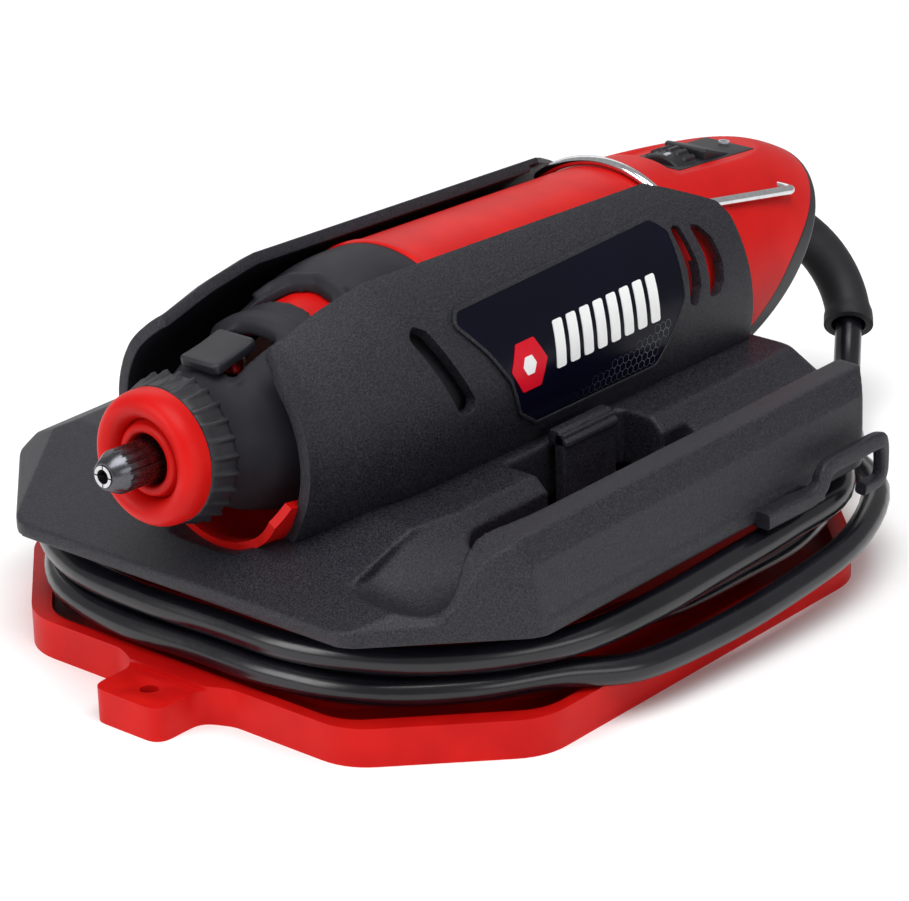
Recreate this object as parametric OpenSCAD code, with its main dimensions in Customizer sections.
// Corded rotary hobby tool lying nose-up in its docking station, with the mains lead wound round the station.
// World frame: +Z up, nose of the tool towards -X, open side of the station towards -Y, floor at z = 0.
// Tool frame: x runs along the spindle from the nose to the tail, z is up, y is the world's y.

/* [Tool] */
// Tilt of the tool in its cradle, nose up (degrees)
tool_tilt = 2.7; // [2:0.1:3.2]
// Outer diameter of the motor housing
body_d = 58.8; // [58:0.2:59.2]
// Wall thickness of the housing halves
wall = 2.4; // [2:0.1:2.6]
// Thickness of the soft grip over the housing front
grip_t = 2.4; // [2:0.1:2.6]
// Diameter of the red nose cap
nose_d = 30; // [29:0.5:31]
// Shank diameter that the collet takes
shank_d = 3.2; // [2.4:0.1:3.2]
// Diameter of the collet nut across its corners
nut_d = 8.8; // [8.6:0.1:9]
// Wire diameter of the hanging bail
bail_wire = 2.4; // [2:0.2:2.6]

/* [Station] */
// Length of the base tray without its tabs
base_l = 171.8; // [170:0.2:174]
// Width of the base tray
base_w = 154; // [152:0.5:156]
// Size of the 45 degree corner cuts
corner_cut = 30; // [28:0.5:32]
// Height of the tray rim
rim_h = 9; // [8:0.5:9]
// Height of the underside of the top, above the wound cord
top_z = 28.4; // [28.2:0.1:29]
// Height of the ledge beside the cradle
ledge_z = 42; // [41.5:0.1:42.5]
// Outer radius of the cradle walls about the tool axis
shroud_r = 34.2; // [34:0.1:34.5]
// Diameter of the screw holes in the mounting tabs
tab_hole_d = 4.2; // [3.6:0.1:4.6]

/* [Cord] */
// Diameter of the mains lead
cord_d = 6.7; // [6:0.1:6.8]
// Bend of the strain-relief sleeve (degrees)
sleeve_bend = 131; // [125:1:132]

/* [Hidden] */
$fn = 64;

// Shift that puts the centre of the object's box over the origin
origin_x = 0.26;
origin_y = 2.65;

// Tool placing: centre of the nose cap's largest circle
nose_pos = [-110.7, 2, 59.4];
body_r = body_d / 2;
eps = 0.02;
big = 400;

// Station outline
base_x0 = -108;
base_x1 = base_x0 + base_l;
half_w = base_w / 2;
core_inset = 15;
tray_floor = 2.5;
tray_wall = 3;
core_wall = 2.6;
corner_slit = 2.2;
post_places = [[-60, -34], [18, -34], [-60, 38], [18, 38]];
platform_z = top_z + 3.6;
roof_t = 2.6;

// Tool stations along x in the tool frame
grip_x0 = 9.6;
grip_x1 = 73;
tail_x = 187;
tail_slope = 1.1;
cap_t = 10;
bearing_r = 9.5;
front_bearing_x = [33, 39];
rear_bearing_x = [142, 148];
collar_x = [21, 29];
button_x = 25;
seat_x = [22.5, 34];
seat_z = [10.4, 12.6];
dial_x = [173, 180.5];
dial_r = 10;
dial_z = 18.6;
rocker_x = 189.5;
rocker_z = 21.6;
pocket_x = [171.6, 199.5];
pocket_w = 17.6;
pocket_z = 23.8;
bail_pivot = [196, 22.6, 18.4];
bail_half_angle = 39;
bail_arch_x = 160;
bail_arch_r = body_r + bail_wire / 2 + 1.2;
screw_x = [112, 136];
screw_z = 20.5;
sleeve_start = [198, 0, 2];
sleeve_straight = 13.5;
sleeve_bend_r = 20;
sleeve_r = 5.65;
sleeve_roll = 53.13;

// Radius of the soft grip along x, then of the motor housing along x
grip_points = [[grip_x0, 14.5], [13, 14.6], [18, 15.9], [23, 18.1], [33, 20.9], [41, 23.1],
               [48, 25.2], [55, 27.6], [61, 28.9], [67, body_r], [grip_x1, body_r]];
tail_end_x = 232;
tail_points = [[grip_x1, body_r], [150, body_r], [165, body_r - 0.2], [185, 28.2], [200, 26.7],
               [212, 25.4], [222, 23.4], [tail_end_x, 20.6]];

// Route of the free lead from the sleeve to the winding, and of the tail end to the plug
lead_route = [[114.27, -18.01, 24.08], [111.8, -19.7, 22], [106.3, -23.3, 17.6], [100, -27.6, 14.2],
              [92, -33.4, 12.2], [83, -40.2, 12], [74.5, -46.8, 13.4], [68, -52, 15]];
tail_route = [[14, 84.9, 17], [20, 88.5, 14.2], [28, 93, 8.4], [38, 96.6, 4.6], [50, 98.6, 3.9],
              [62, 99.4, 5.2], [70, 99.5, 7]];
plug_pos = [70, 99.5, 7];

// ---------- Shared helpers ----------

module placed() {
    translate([origin_x, origin_y, 0]) children();
}

module at_tool() {
    translate(nose_pos) rotate([0, tool_tilt, 0]) children();
}
module tool_frame() {
    placed() at_tool() children();
}

// Space behind the cradle that the housing's tail lies in and slides along
module tail_path() {
    at_tool() rod(100, 300, shroud_r - 2.8);
}

// Catmull-Rom curve through a list of points, with n steps between neighbours
function spline_at(a, b, c, d, t) =
    0.5 * (2 * b + (c - a) * t + (2 * a - 5 * b + 4 * c - d) * t * t + (3 * b - a - 3 * c + d) * t * t * t);
function smooth(p, n) = concat(
    [for (i = [0 : len(p) - 2], k = [0 : n - 1])
        spline_at(p[max(i - 1, 0)], p[i], p[i + 1], p[min(i + 2, len(p) - 1)], k / n)],
    [p[len(p) - 1]]);

// Profile points [x, radius] turned about the tool axis
function shrink(p, t) = [for (q = p) [q[0], q[1] - t]];
function flip(p) = [for (i = [len(p) - 1 : -1 : 0]) p[i]];
module turned(p) {
    rotate([0, 90, 0]) rotate_extrude() polygon([for (q = p) [q[1], q[0]]]);
}
module rod(x0, x1, r, y = 0, z = 0) {
    translate([x0, y, z]) rotate([0, 90, 0]) cylinder(h = x1 - x0, r = r);
}
module ring(x0, x1, r_out, r_in) {
    difference() {
        rod(x0, x1, r_out);
        rod(x0 - 1, x1 + 1, r_in);
    }
}
module cross_rod(y0, y1, r, x, z) {
    translate([x, y1, z]) rotate([90, 0, 0]) cylinder(h = y1 - y0, r = r);
}
module block(x, y, z) {
    translate([x[0], y[0], z[0]]) cube([x[1] - x[0], y[1] - y[0], z[1] - z[0]]);
}

// Half of space behind or ahead of the oblique tail cut, at a distance along x
module behind_cut(shift) {
    rotate([90, 0, 0]) linear_extrude(height = 2 * big, center = true)
        polygon([for (z = [-60, 60]) [tail_x + shift + tail_slope * z, z], [big, 60], [big, -60]]);
}

// Octagonal outline of the station, grown or shrunk by d
function outline_points(d) =
    let (c = corner_cut - d * (1 - 2 * tan(22.5)), x0 = base_x0 - d, x1 = base_x1 + d, y = half_w + d)
    [[x0 + c, -y], [x1 - c, -y], [x1, c - y], [x1, y - c], [x1 - c, y], [x0 + c, y], [x0, y - c], [x0, c - y]];
module outline(d = 0) {
    polygon(outline_points(d));
}
module slab(z0, z1, d = 0) {
    translate([0, 0, z0]) linear_extrude(height = z1 - z0) outline(d);
}

// Round tube swept along a route, as one closed solid; r is one radius or a list of one per point
function unit(v) = v / norm(v);
function tangent(p, i) = unit(p[min(i + 1, len(p) - 1)] - p[max(i - 1, 0)]);
function radius_at(r, i) = is_list(r) ? r[i] : r;
module swept(p, r, sides = 8) {
    rings = [for (i = [0 : len(p) - 1])
        let (t = tangent(p, i), side = unit(cross(t, [0, 0, 1])), up = cross(side, t))
        for (k = [0 : sides - 1])
            p[i] + radius_at(r, i) * (cos(360 * k / sides) * side + sin(360 * k / sides) * up)];
    last = (len(p) - 1) * sides;
    walls = [for (i = [0 : len(p) - 2], k = [0 : sides - 1])
        let (a = i * sides + k, b = i * sides + (k + 1) % sides)
        [a, b, b + sides, a + sides]];
    polyhedron(points = rings, convexity = 4,
        faces = concat(walls, [[for (k = [sides - 1 : -1 : 0]) k], [for (k = [0 : sides - 1]) last + k]]));
}

// ---------- Station ----------

module mounting_tab(x_root, side) {
    tip = x_root + side * 16;
    hole = x_root + side * 8.3;
    half = [[x_root - side * 4, 15], [x_root, 14], [x_root + side * 4, 10], [tip - side * 2, 10], [tip, 8]];
    translate([0, nose_pos[1], 0]) difference() {
        linear_extrude(height = 8) polygon(concat(half, [for (q = flip(half)) [q[0], -q[1]]]));
        translate([hole, 0, -1]) cylinder(h = 10, d = tab_hole_d);
    }
}

module base_tray() {
    color("firebrick") placed() union() {
        difference() {
            slab(0, rim_h);
            slab(tray_floor, rim_h + 1, -tray_wall);
        }
        mounting_tab(base_x0, -1);
        mounting_tab(base_x1, 1);
    }
}

// Core that the lead is wound on, with four screw posts inside it
module winding_core() {
    color("firebrick") placed() {
        difference() {
            slab(tray_floor, top_z, -core_inset);
            slab(tray_floor - 1, top_z + 1, -core_inset - core_wall);
            for (p = outline_points(-core_inset - core_wall / 2))
                translate([p[0], p[1], tray_floor - 1]) cylinder(h = top_z, r = corner_slit);
            tail_path();
        }
        for (p = post_places) translate([p[0], p[1], tray_floor]) difference() {
            cylinder(h = top_z - tray_floor, r = 4);
            translate([0, 0, 12]) cylinder(h = 20, r = 1.5);
        }
    }
}

// Cross-section of the ledge, trough and wall on the open side, as [y, z]
trough_section = [
    [-77.6, top_z], [-76, 44.5], [-73.2, 50], [-65.5, 50], [-63.6, 43.5], [-61, 37.5],
    [-56, 34.4], [-51, 35], [-46, 38.2], [-40.5, ledge_z], [-24, ledge_z], [-24, ledge_z - 2.6],
    [-41.4, ledge_z - 2.6], [-47, 35.6], [-51, 32.2], [-57, 31.6], [-63, 34.8], [-66, 41.8],
    [-67.6, 47.2], [-72, 47.2], [-73.6, 43.8], [-75, top_z]];
trough_x = [-85, 60];
wall_end_x = 43;
window_x = [-68, 12];
window_y = [-58.8, -45.5];

// Cross-section of the roof on the far side, as [y, z], and side view of the slope at the nose, as [x, z]
far_section = [[29, ledge_z], [62, ledge_z], [78.3, 34], [78.3, top_z + 1], [75.7, top_z + 1], [75.7, 32.4],
               [61.4, ledge_z - roof_t], [29, ledge_z - roof_t]];
nose_slope = [[-109.1, platform_z - eps], [-76, ledge_z], [-73, ledge_z], [-73, ledge_z - roof_t],
              [-75.2, ledge_z - roof_t], [-101, platform_z - eps]];

module along_x(x, section) {
    translate([x[0], 0, 0]) rotate([90, 0, 90]) linear_extrude(height = x[1] - x[0]) polygon(section);
}

module station_roof() {
    intersection() {
        slab(top_z, 60, 1.2);
        union() {
            along_x(trough_x, trough_section);
            along_x([-75, trough_x[1]], far_section);
        }
    }
    intersection() {
        slab(top_z, 60, 1.2);
        difference() {
            translate([0, 62, 0]) rotate([90, 0, 0]) linear_extrude(height = 102.5) polygon(nose_slope);
            at_tool() cradle_void(shroud_r);
        }
    }
    block([57.4, trough_x[1]], [-40, 62], [platform_z - eps, ledge_z]);
}

module station_top() {
    color("dimgray") placed() difference() {
        union() {
            slab(top_z, platform_z, 1.2);
            station_roof();
        }
        block([wall_end_x, 80], [-90, -51], [platform_z, 60]);
        block([-90, -75], [-50, -20], [ledge_z - 0.5, 60]);
        block(window_x, window_y, [top_z - 1, 60]);
        block([-38, 3], [window_y[0], -33], [top_z - 1, 60]);
        block([-95, 56], [-21, 25], [top_z - 1, platform_z + 1]);
        at_tool() cradle_void(shroud_r - 2.8);
        tail_path();
        for (p = post_places) translate([p[0], p[1], top_z - 1]) cylinder(h = 6, r = 1.5);
    }
}

// Side profile of a cradle wall, as [x, z] in the world
cradle_side = [
    [-88, platform_z], [-92, 45], [-93, 60], [-93.5, 76], [-91, 81.5], [-86, 83.6], [-60, 90], [30, 90],
    [34, 84.5], [38, 81.2], [42.5, 77], [46, 75], [51, 74.4], [53.6, 73.2], [55, 70], [55, ledge_z],
    [-76, ledge_z], [-78, platform_z]];
slot_outline = [[-58.5, 77.5], [-55.5, 78], [-46.8, 57.5], [-50.4, 58.5]];
vent_outlines = [
    [[33.4, 74], [37, 73.6], [37.6, 62], [34, 57.6], [31.8, 58.4]],
    [[40.4, 73], [45, 69.4], [46.2, 61], [42.6, 57.6], [40, 58]]];

// Radius along the cradle, which narrows towards the nose, for a radius r at the back
function cradle_line(r) = [[14, r - 6], [20, r - 6], [34, r - 2.4], [48, r], [172, r]];
module cradle_shell(r_in, r_out) {
    turned(concat(cradle_line(r_out), flip(cradle_line(r_in))));
}
module cradle_void(r) {
    turned(concat([[14, 0]], cradle_line(r), [[172, 0]]));
}
module side_cut(p) {
    rotate([90, 0, 0]) linear_extrude(height = 2 * big, center = true) polygon(p);
}
module beyond_slot(side) {
    y0 = nose_pos[1] + side * 16;
    block([-big, big], side > 0 ? [y0, big] : [-big, y0], [0, 200]);
}

module cradle_wall(side) {
    intersection() {
        tool_frame() cradle_shell(shroud_r - 2.8, shroud_r);
        placed() side_cut(cradle_side);
        placed() beyond_slot(side);
    }
}

module near_cradle() {
    color("dimgray") difference() {
        cradle_wall(-1);
        placed() for (v = concat([slot_outline], vent_outlines)) intersection() {
            side_cut(v);
            beyond_slot(-1);
        }
    }
}

module far_cradle() {
    color("dimgray") cradle_wall(1);
}

// Red lower bearing that the housing lies in
module cradle_saddle() {
    color("firebrick") intersection() {
        tool_frame() cradle_shell(body_r + 0.4, shroud_r - 2.9);
        placed() union() {
            block([-92, 50], [-40, 44], [top_z - 6, ledge_z]);
            block([-92, -62], [-40, 44], [ledge_z - eps, 57]);
        }
    }
}

label_outline = [[-45.5, 75.5], [-43.5, 77.4], [28, 77.4], [31.5, 74.5], [29, 60.5], [17.5, 48], [-25, 48],
                 [-31, 52], [-33.5, 60], [-39, 68]];
module label_panel() {
    color("midnightblue") intersection() {
        tool_frame() ring(40, 160, shroud_r + 0.6, shroud_r);
        placed() side_cut(label_outline);
        placed() beyond_slot(-1);
    }
}

// Latch between the station top and the red core
module latch_tab() {
    color("slategray") placed() union() {
        block([-23.5, -5], [-38.4, -35.4], [tray_floor, 45.4]);
        block([-23.5, -5], [-35.5, -33.6], [42.8, 45.4]);
    }
}

module cord_hook() {
    color("dimgray") placed() union() {
        block([-4, 14], [-81.6, -half_w - 1.2], [28.4, 32]);
        block([10, 14], [-83.5, -80], [28.4, 37.4]);
        block([14 - eps, 38], [-83.5, -80], [33.4, 37.4]);
        block([34.6, 38], [-83.5, -80], [24.4, 33.4 + eps]);
        block([27, 34.6 + eps], [-83.5, -80], [24.4, 27.6]);
    }
}

module station_screws() {
    color("silver") placed() for (p = post_places) translate([p[0], p[1], 0]) {
        translate([0, 0, 15]) cylinder(h = platform_z - 14, r = 1.5);
        translate([0, 0, platform_z]) cylinder(h = 1.8, r = 2.8);
    }
}

// ---------- Tool housing ----------

function tool_outline() =
    concat([[5.6, 12.1]], shrink(smooth(grip_points, 3), grip_t), smooth(tail_points, 3));
module tool_skin() {
    step_x = grip_x1 + 3;
    front = shrink(smooth(grip_points, 3), grip_t);
    back = smooth(tail_points, 3);
    outer = tool_outline();
    inner = concat([[5.6, 11.1], [18.4, 11.1]],
                   [for (q = shrink(front, wall)) if (q[0] > 19) q],
                   [[step_x, body_r - grip_t - wall], [step_x, body_r - wall]],
                   [for (q = shrink(back, wall)) if (q[0] > step_x) q]);
    turned(concat(outer, flip(inner)));
}

// Walls, bosses and shelves inside the housing, trimmed to stay within its skin
module tool_insides() {
    intersection() {
        turned(concat([[5.6, 0]], shrink(tool_outline(), 0.6), [[240, 0]]));
        union() {
            rod(front_bearing_x[0], front_bearing_x[1], 24);
            rod(rear_bearing_x[0], rear_bearing_x[1], body_r);
            for (x = screw_x) for (z = [-screw_z, screw_z]) cross_rod(-24, 24, 3.6, x, z);
            block([150, 172], [-28, 28], [-2.4, 0]);
            block([174, 179], [-28, 28], [-7, -1.4]);
            block(seat_x, [-12, 12], seat_z);
        }
    }
}

function bail_top(side) =
    [bail_arch_x, side * bail_arch_r * sin(bail_half_angle), bail_arch_r * cos(bail_half_angle)];
module bail_leg_line(side, r) {
    foot = [bail_pivot[0], side * bail_pivot[1], bail_pivot[2]];
    top = bail_top(side);
    v = top - foot;
    translate(foot) rotate([0, acos(v[2] / norm(v)), atan2(v[1], v[0])]) cylinder(h = norm(v), r = r);
}

// Openings that both the housing skin and the soft grip leave free
module grip_openings() {
    block([button_x - 7.2, button_x + 7.2], [-6.2, 6.2], [seat_z[1], 40]);
    block([42, 48], [-7.5, 7.5], [15, 40]);
}

module housing_half(side) {
    tool_frame() intersection() {
        block([-10, 300], side > 0 ? [0, 60] : [-60, 0], [-60, 60]);
        difference() {
            union() {
                tool_skin();
                tool_insides();
            }
            behind_cut(0);
            grip_openings();
            rod(0, 160, bearing_r);
            translate([button_x, 0, 0]) cylinder(h = 20, r = 1.56);
            block(pocket_x, [-pocket_w / 2, pocket_w / 2], [pocket_z, 40]);
            for (x = screw_x) for (z = [-screw_z, screw_z]) {
                cross_rod(-40, 15, 1.5, x, z);
                cross_rod(-40, -14.4, 2.9, x, z);
            }
            cross_rod(-24, -15, bail_wire / 2 + 0.05, bail_pivot[0], bail_pivot[2]);
            cross_rod(15, 24, bail_wire / 2 + 0.05, bail_pivot[0], bail_pivot[2]);
            for (x = [149, 156]) block([x, x + 4], [-60, 60], [2, 14]);
        }
    }
}

module housing_near() {
    color("crimson") housing_half(-1);
}

module housing_far() {
    color("crimson") housing_half(1);
}

module soft_grip() {
    outer = smooth(grip_points, 3);
    color("darkslategray") tool_frame() difference() {
        turned(concat(outer, flip(shrink(outer, grip_t))));
        grip_openings();
    }
}

module rear_cap() {
    back = smooth(tail_points, 3);
    color("dimgray") tool_frame() difference() {
        turned(concat([[grip_x1, 0]], back, [[tail_end_x, 0]]));
        behind_cut(cap_t);
        difference() {
            block([60, 300], [-60, 60], [-60, 60]);
            behind_cut(0);
        }
        difference() {
            rod(60, 260, body_r - 8);
            behind_cut(cap_t - 3);
        }
        rod(150, 260, sleeve_r + 0.01, 0, sleeve_start[2]);
    }
}

// Rubber sleeve: an inner length of lead, a flange, a neck through the cap, a bend, and a flared mouth
function bend_point(a) = sleeve_start + [
    sleeve_straight + sleeve_bend_r * sin(a),
    -sleeve_bend_r * (1 - cos(a)) * cos(sleeve_roll),
    -sleeve_bend_r * (1 - cos(a)) * sin(sleeve_roll)];
bend_steps = 11;
sleeve_line = concat(
    [for (x = [-25.5, -17.1, -17, -15, -14.9, 6]) sleeve_start + [x, 0, 0]],
    [for (i = [0 : bend_steps]) bend_point(sleeve_bend * i / bend_steps)]);
sleeve_radii = concat(
    [cord_d / 2, cord_d / 2, sleeve_r + 2.2, sleeve_r + 2.2, sleeve_r, sleeve_r],
    [for (i = [0 : bend_steps]) sleeve_r + (i > bend_steps - 2 ? 0.5 : 0)]);
module strain_relief() {
    color("black") tool_frame() swept(sleeve_line, sleeve_radii, 16);
}

module cord_clamp() {
    color("gray") tool_frame() difference() {
        block([173.6, 179.4], [-11, 11], [5.4, 8.4]);
        for (y = [-8, 8]) translate([176.5, y, 0]) cylinder(h = 20, r = 1.4);
    }
}

module housing_screws() {
    color("silver") tool_frame() for (x = screw_x) for (z = [-screw_z, screw_z]) {
        cross_rod(-15.4, 14, 1.5, x, z);
        cross_rod(-16.4, -14.4, 2.8, x, z);
    }
}

// ---------- Nose ----------

nose_r = nose_d / 2;
module nose_cap() {
    lip = [for (a = [180 : -20 : 0]) [0.2 - 4.2 * sin(a), nose_r - 3.1 + 3.1 * cos(a)]];
    color("red") tool_frame() turned(concat(
        [[-1.6, 5.8], [-2.4, 6.2], [-2.4, 7.8], [-1.2, 8.2], [-1.2, 8.7]],
        lip,
        [[2, nose_r], [2, 11], [17, 11], [17, 7.6], [3, 7.6], [1.4, 5.8]]));
}

ring_ribs = 26;
module ribbed_ring() {
    color("black") tool_frame() difference() {
        union() {
            turned([[2.1, 11.1], [2.1, 15.1], [9.2, 16.1], [9.2, 12.2], [5.5, 12.2], [5.5, 11.1]]);
            intersection() {
                turned([[2.1, 12.5], [2.1, 15.2], [9.2, 17.1], [9.2, 12.5]]);
                for (k = [0 : ring_ribs - 1]) rotate([360 * k / ring_ribs, 0, 0])
                    block([2.1, 9.2], [-0.6, 0.6], [14, 18]);
            }
        }
    }
}

// ---------- Spindle line ----------

module collet_nut() {
    color("slategray") tool_frame() difference() {
        union() {
            turned([[-14.8, 0], [-14.8, 2.9], [-11.4, nut_d / 2 - 0.1], [-11.4, 0]]);
            intersection() {
                rod(-11.5, -1.5, nut_d / 2);
                translate([-12, 0, 0]) rotate([0, 90, 0]) cylinder(h = 12, r = nut_d / 2 + 0.3, $fn = 6);
            }
        }
        turned([[-16, 0], [-16, 2.5], [-13.6, 2.5], [-12.5, 3.2], [-6.1, 3.2], [-6.1, 3.62],
                [0, 3.62], [0, 0]]);
    }
}

module collet() {
    color("silver") tool_frame() difference() {
        turned([[-15.1, 0], [-15.1, 2.4], [-13.5, 2.4], [-12.4, 3.1], [-6, 3.1], [-1, 2.3], [-1, 0]]);
        rod(-20, 5, shank_d / 2);
        for (a = [0, 90]) rotate([a, 0, 0]) block([-16, -6.5], [-4, 4], [-0.15, 0.15]);
    }
}

module spindle() {
    color("lightsteelblue") tool_frame() difference() {
        union() {
            rod(-6, collar_x[0], 3.55);
            rod(collar_x[0], collar_x[1], 7);
            rod(collar_x[1], 41, 3.5);
            rod(41, 149, 3);
        }
        turned([[-7, 0], [-7, 3.28], [-6, 3.14], [-0.9, 2.34], [-0.9, 2.2], [18, 2.2], [18, 0]]);
        for (a = [0 : 90 : 270]) rotate([a, 0, 0]) translate([button_x, 0, 3.8]) cylinder(h = 8, r = 1.6);
    }
}

module front_bearing() {
    color("silver") tool_frame() ring(front_bearing_x[0], front_bearing_x[1], bearing_r, 3.54);
}

module rear_bearing() {
    color("silver") tool_frame() ring(rear_bearing_x[0], rear_bearing_x[1], bearing_r, 3.04);
}

fan_blades = 12;
module fan() {
    color("white") tool_frame() union() {
        ring(46, 48, 17.5, 3);
        ring(48 - eps, 56, 6, 3);
        for (k = [0 : fan_blades - 1]) rotate([360 * k / fan_blades, 0, 0])
            block([48 - eps, 54], [-0.6, 0.6], [5, 17]);
    }
}

module armature() {
    color("sienna") tool_frame() union() {
        ring(79, 103, 14.4, 3);
        ring(73, 79 + eps, 11.5, 3);
        ring(103 - eps, 108, 11.5, 3);
    }
}

module commutator() {
    color("peru") tool_frame() ring(110, 124, 7.5, 3);
}

module stator() {
    color("gray") tool_frame() difference() {
        rod(78, 104, body_r - wall - 0.1);
        rod(70, 110, 15.2);
        for (z = [-1, 1]) block([70, 110], [-12, 12], z > 0 ? [19, 23.4] : [-23.4, -19]);
    }
}

module field_coils() {
    color("peru") tool_frame() for (z = [-1, 1])
        block([76.6, 106], [-11.8, 11.8], z > 0 ? [19.2, 23.3] : [-23.3, -19.2]);
}

module brushes() {
    color("darkslategray") tool_frame() for (s = [-1, 1])
        block([114, 120], s > 0 ? [7.6, 15] : [-15, -7.6], [-2.5, 2.5]);
}

module brush_holders() {
    color("gold") tool_frame() for (s = [-1, 1]) difference() {
        block([112.6, 121.4], s > 0 ? [9, 26.6] : [-26.6, -9], [-3.9, 3.9]);
        block([113.9, 120.1], s > 0 ? [8, 20.8] : [-20.8, -8], [-2.6, 2.6]);
    }
}

module brush_springs() {
    color("silver") tool_frame() for (s = [-1, 1]) for (k = [0 : 3])
        translate([117, s * (15.9 + 1.3 * k), 0]) rotate([90, 0, 0]) difference() {
            cylinder(h = 1.32, r = 2.2, center = true);
            cylinder(h = 2, r = 1.5, center = true);
        }
}

// ---------- Controls ----------

module control_board() {
    color("seagreen") tool_frame() union() {
        block([151, 171.5], [-13, 13], [0, 1.6]);
        block([154, 162], [4, 11], [1.6 - eps, 8]);
        block([166.5, 171.5], [-5, 5], [1.6 - eps, 22]);
        rod(171.5 - eps, 181, 1.55, 0, dial_z);
    }
}

dial_ribs = 24;
module speed_dial() {
    color("black") tool_frame() difference() {
        union() {
            rod(dial_x[0], dial_x[1], dial_r - 0.5, 0, dial_z);
            for (k = [0 : dial_ribs - 1]) translate([0, 0, dial_z]) rotate([360 * k / dial_ribs, 0, 0])
                block([dial_x[0] + 3.5, dial_x[1]], [-0.5, 0.5], [dial_r - 1.5, dial_r]);
        }
        rod(dial_x[0] - 1, dial_x[1] + 1, 1.6, 0, dial_z);
    }
}

module rocker() {
    color("black") tool_frame() difference() {
        translate([rocker_x, 0, rocker_z]) rotate([90, 0, 0]) linear_extrude(height = 12.4, center = true)
            polygon([[-6.6, 6.2], [-1, 4.6], [6.6, 2.4], [6.6, 0.6], [3, -2.2], [-3, -2.2], [-6.6, 1.6]]);
        cross_rod(-10, 10, 1.04, rocker_x, rocker_z);
    }
}

module switch_body() {
    color("black") tool_frame() union() {
        difference() {
            block([182, 197.6], [-8.4, 8.4], [11, 22.4]);
            block([182.4, 197], [-6.8, 6.8], [17.4, 30]);
        }
        cross_rod(-8, 8, 1, rocker_x, rocker_z);
    }
}

module lock_button() {
    color("darkslategray") tool_frame() union() {
        block([button_x - 6.6, button_x + 6.6], [-5.6, 5.6], [16, 21.8]);
        translate([button_x, 0, 8.2]) cylinder(h = 8, r = 1.5);
    }
}

module lock_spring() {
    color("silver") tool_frame() for (k = [0 : 2])
        translate([button_x, 0, seat_z[1] + 1.1 * k]) difference() {
            cylinder(h = 1.12, r = 2.4);
            translate([0, 0, -1]) cylinder(h = 4, r = 1.7);
        }
}

module bail() {
    joint_d = bail_wire + 0.1;
    color("silver") tool_frame() union() {
        translate([bail_arch_x, 0, 0]) rotate([0, 90, 0]) rotate([0, 0, 180 - bail_half_angle])
            rotate_extrude(angle = 2 * bail_half_angle) translate([bail_arch_r, 0]) circle(d = bail_wire);
        for (s = [-1, 1]) {
            translate(bail_top(s)) sphere(d = joint_d, $fn = 24);
            bail_leg_line(s, bail_wire / 2);
            translate([bail_pivot[0], s * bail_pivot[1], bail_pivot[2]]) sphere(d = joint_d, $fn = 24);
            cross_rod(s > 0 ? 16 : -bail_pivot[1], s > 0 ? bail_pivot[1] : -16, bail_wire / 2,
                bail_pivot[0], bail_pivot[2]);
        }
    }
}

// ---------- Cord ----------

module cord_lead() {
    color("black") placed() swept(smooth(lead_route, 3), cord_d / 2);
}

module cord_winding() {
    color("black") placed() difference() {
        slab(rim_h + 0.3, top_z - 0.3, 7);
        slab(rim_h - 1, top_z + 1, -core_inset + 0.6);
        block([-6, 39], [-95, -79], [24, top_z]);
        tail_path();
    }
}

module cord_tail() {
    color("black") placed() swept(smooth(tail_route, 3), cord_d / 2);
}

module plug_body() {
    color("black") placed() translate(plug_pos) union() {
        rod(0.1, 12, 5);
        translate([11, 0, 0]) rotate([90, 0, 90]) linear_extrude(height = 25)
            polygon([[-13, -4], [-10, -6.9], [10, -6.9], [13, -4], [13, 4], [10, 6.9], [-10, 6.9], [-13, 4]]);
    }
}

module plug_pins() {
    color("silver") placed() translate(plug_pos) for (y = [-9.3, 9.3]) rod(36, 55, 2, y, 0);
}

base_tray();
winding_core();
station_top();
near_cradle();
far_cradle();
cradle_saddle();
label_panel();
latch_tab();
cord_hook();
station_screws();
housing_near();
housing_far();
soft_grip();
rear_cap();
strain_relief();
cord_clamp();
housing_screws();
nose_cap();
ribbed_ring();
collet_nut();
collet();
spindle();
front_bearing();
rear_bearing();
fan();
armature();
commutator();
stator();
field_coils();
brushes();
brush_holders();
brush_springs();
control_board();
speed_dial();
rocker();
switch_body();
lock_button();
lock_spring();
bail();
cord_lead();
cord_winding();
cord_tail();
plug_body();
plug_pins();
